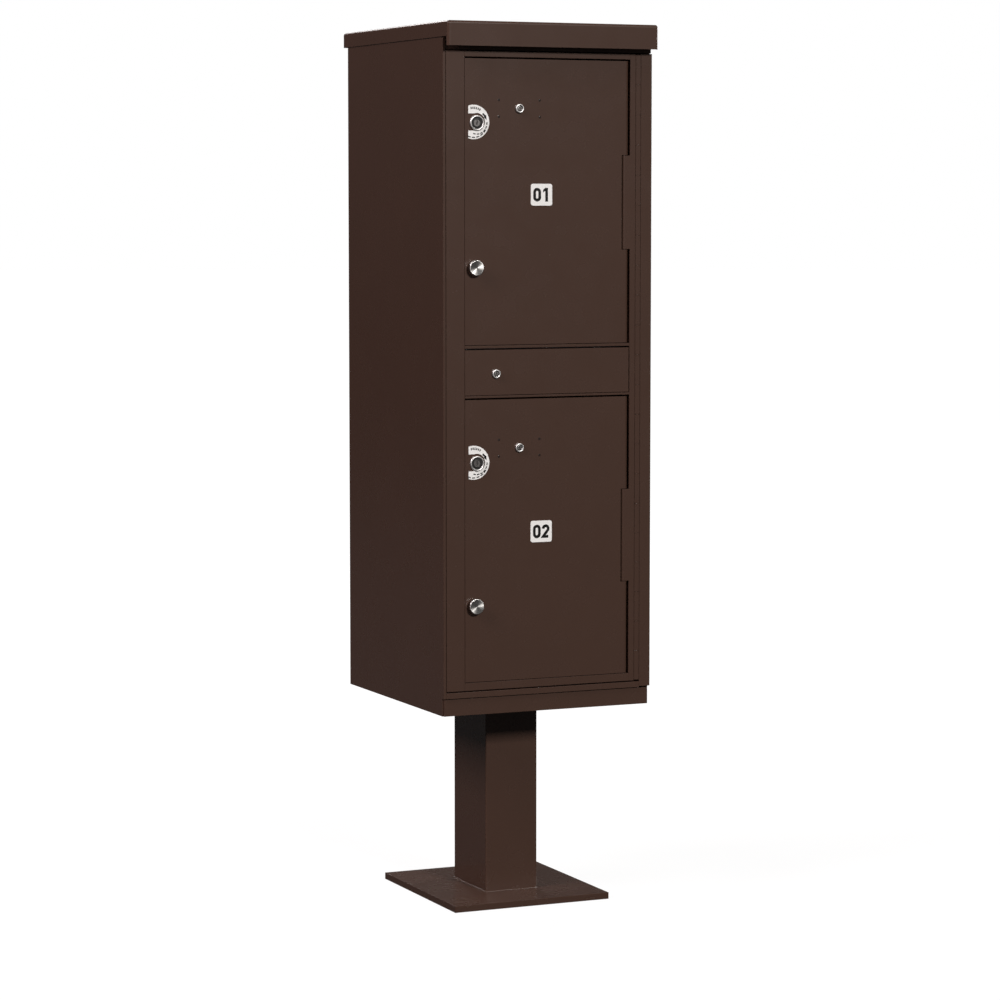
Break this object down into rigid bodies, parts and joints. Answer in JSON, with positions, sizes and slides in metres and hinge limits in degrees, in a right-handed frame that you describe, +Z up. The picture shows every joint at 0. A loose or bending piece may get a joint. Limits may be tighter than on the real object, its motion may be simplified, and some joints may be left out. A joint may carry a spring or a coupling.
{
  "type": "outdoor parcel locker on a pedestal",
  "caption": "Pedestal-mounted outdoor locker cabinet with stacked parcel doors set in a hinged, lockable master door under an overhanging flat hood.",
  "frame": {"origin": "centre of the base plate's underside, on the ground", "axes": "+Z up, the doors face -Y, +X to the right seen from the front"},
  "size_m": [0.4044, 0.493, 1.575],
  "materials": {
    "bronze_powder_coat": "dark bronze powder coat, semi-gloss",
    "plain_aluminium": "mill-finish sheet",
    "plated_steel": "zinc plated",
    "lock_chrome": "polished",
    "lock_plug": "satin",
    "satin_knob": "satin turned face",
    "white_label": "printed vinyl",
    "seal_rubber": "matte foam rubber"
  },
  "bodies": {
    "cabinet": {"base_plate": "bronze_powder_coat", "pedestal_post": "bronze_powder_coat", "pedestal_cap_plate": "bronze_powder_coat", "cabinet_bolts": "plated_steel", "cabinet_nuts": "plated_steel", "bottom_pan": "bronze_powder_coat", "left_side_panel": "bronze_powder_coat", "right_side_panel": "bronze_powder_coat", "back_panel": "bronze_powder_coat", "back_rivets": "bronze_powder_coat", "hood": "bronze_powder_coat", "hood_rails": "plain_aluminium", "top_panel": "plain_aluminium", "left_jamb": "bronze_powder_coat", "right_hinge_post": "bronze_powder_coat", "front_top_rail": "bronze_powder_coat", "front_bottom_rail": "bronze_powder_coat", "upper_compartment_floor": "plain_aluminium", "lower_compartment_ceiling": "plain_aluminium", "lower_compartment_floor": "plain_aluminium", "master_strike": "plated_steel", "weather_seal": "seal_rubber", "hinge_cabinet_leaf": "bronze_powder_coat", "hinge_pin": "plated_steel"},
    "master_door": {"frame_left_stile": "bronze_powder_coat", "frame_right_stile": "bronze_powder_coat", "frame_top_rail": "bronze_powder_coat", "frame_bottom_rail": "bronze_powder_coat", "frame_upper_mid_rail": "bronze_powder_coat", "frame_lower_mid_rail": "bronze_powder_coat", "parcel_hinge_pins": "plated_steel", "center_panel": "bronze_powder_coat", "center_panel_rivets": "plain_aluminium", "hinge_door_leaf": "bronze_powder_coat", "master_lock_body": "lock_chrome", "master_lock_nut": "plated_steel"},
    "master_lock": {"master_lock_plug": "lock_plug", "master_lock_cam": "plated_steel"},
    "parcel_door_1": {"parcel_door_1_panel": "bronze_powder_coat", "customer_lock_1_body": "lock_chrome", "customer_lock_1_nut": "plated_steel", "carrier_lock_1_body": "lock_chrome", "carrier_lock_1_bracket": "plated_steel", "turn_label_1": "white_label", "number_plate_1": "white_label", "pull_knob_1": "satin_knob"},
    "customer_lock_1": {"customer_lock_1_plug": "lock_plug", "customer_lock_1_cam": "plated_steel"},
    "carrier_lock_1": {"carrier_lock_1_plug": "lock_plug"},
    "parcel_door_2": {"parcel_door_2_panel": "bronze_powder_coat", "customer_lock_2_body": "lock_chrome", "customer_lock_2_nut": "plated_steel", "carrier_lock_2_body": "lock_chrome", "carrier_lock_2_bracket": "plated_steel", "turn_label_2": "white_label", "number_plate_2": "white_label", "pull_knob_2": "satin_knob"},
    "customer_lock_2": {"customer_lock_2_plug": "lock_plug", "customer_lock_2_cam": "plated_steel"},
    "carrier_lock_2": {"carrier_lock_2_plug": "lock_plug"}
  },
  "joints": [
    {"name": "master_door_hinge", "type": "hinge", "parent": "cabinet", "child": "master_door", "pos_m": [0.1745, -0.2295, 0.9626], "axis": [0, 0, 1], "range_deg": [0, 110]},
    {"name": "master_lock_turn", "type": "hinge", "parent": "master_door", "child": "master_lock", "pos_m": [-0.101, -0.2315, 0.96485], "axis": [0, -1, 0], "range_deg": [0, 90]},
    {"name": "parcel_door_1_hinge", "type": "hinge", "parent": "master_door", "child": "parcel_door_1", "pos_m": [0.1502, -0.2255, 1.2636], "axis": [0, 0, 1], "range_deg": [0, 95]},
    {"name": "customer_lock_1_turn", "type": "hinge", "parent": "parcel_door_1", "child": "customer_lock_1", "pos_m": [-0.1377, -0.2315, 1.4006], "axis": [0, -1, 0], "range_deg": [0, 90]},
    {"name": "carrier_lock_1_turn", "type": "hinge", "parent": "parcel_door_1", "child": "carrier_lock_1", "pos_m": [-0.0565, -0.2315, 1.4261], "axis": [0, -1, 0], "range_deg": [0, 90]},
    {"name": "parcel_door_2_hinge", "type": "hinge", "parent": "master_door", "child": "parcel_door_2", "pos_m": [0.1502, -0.2255, 0.6718], "axis": [0, 0, 1], "range_deg": [0, 95]},
    {"name": "customer_lock_2_turn", "type": "hinge", "parent": "parcel_door_2", "child": "customer_lock_2", "pos_m": [-0.1377, -0.2315, 0.8088], "axis": [0, -1, 0], "range_deg": [0, 90]},
    {"name": "carrier_lock_2_turn", "type": "hinge", "parent": "parcel_door_2", "child": "carrier_lock_2", "pos_m": [-0.0565, -0.2315, 0.8343], "axis": [0, -1, 0], "range_deg": [0, 90]}
  ]
}
